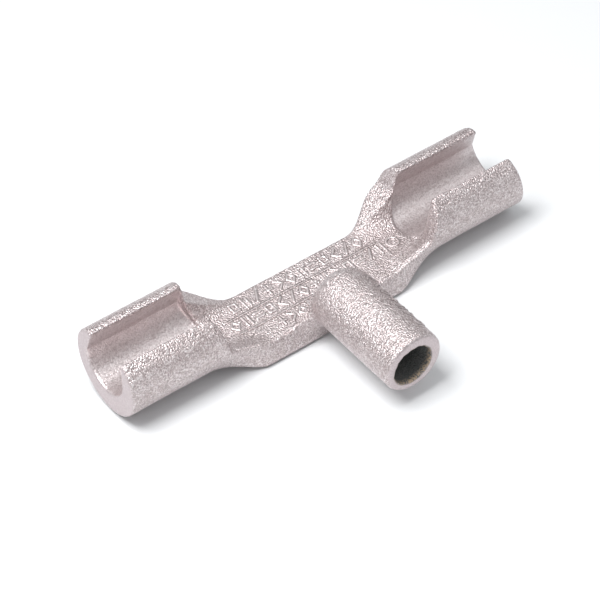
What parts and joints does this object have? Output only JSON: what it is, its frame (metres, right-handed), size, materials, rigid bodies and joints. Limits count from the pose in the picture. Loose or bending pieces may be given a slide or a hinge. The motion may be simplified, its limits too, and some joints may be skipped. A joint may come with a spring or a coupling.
{
  "type": "fire hydrant wrench",
  "caption": "T-shaped cast hand wrench: a flat web between open round cradles, with a round tubular socket stub standing out of one side.",
  "frame": {"origin": "under the middle of the whole wrench, on the plane it rests on", "axes": "+X along the crossbar, -Y along the socket stub towards its open end, +Z towards the open side of the cradles"},
  "size_m": [0.258, 0.1146, 0.0453],
  "materials": {
    "casting": "silvery zinc-like coat over rough sand-cast iron"
  },
  "bodies": {
    "root": {"centre_web": "casting", "left_neck": "casting", "right_neck": "casting", "left_cradle": "casting", "right_cradle": "casting", "socket_stub": "casting"}
  },
  "joints": []
}
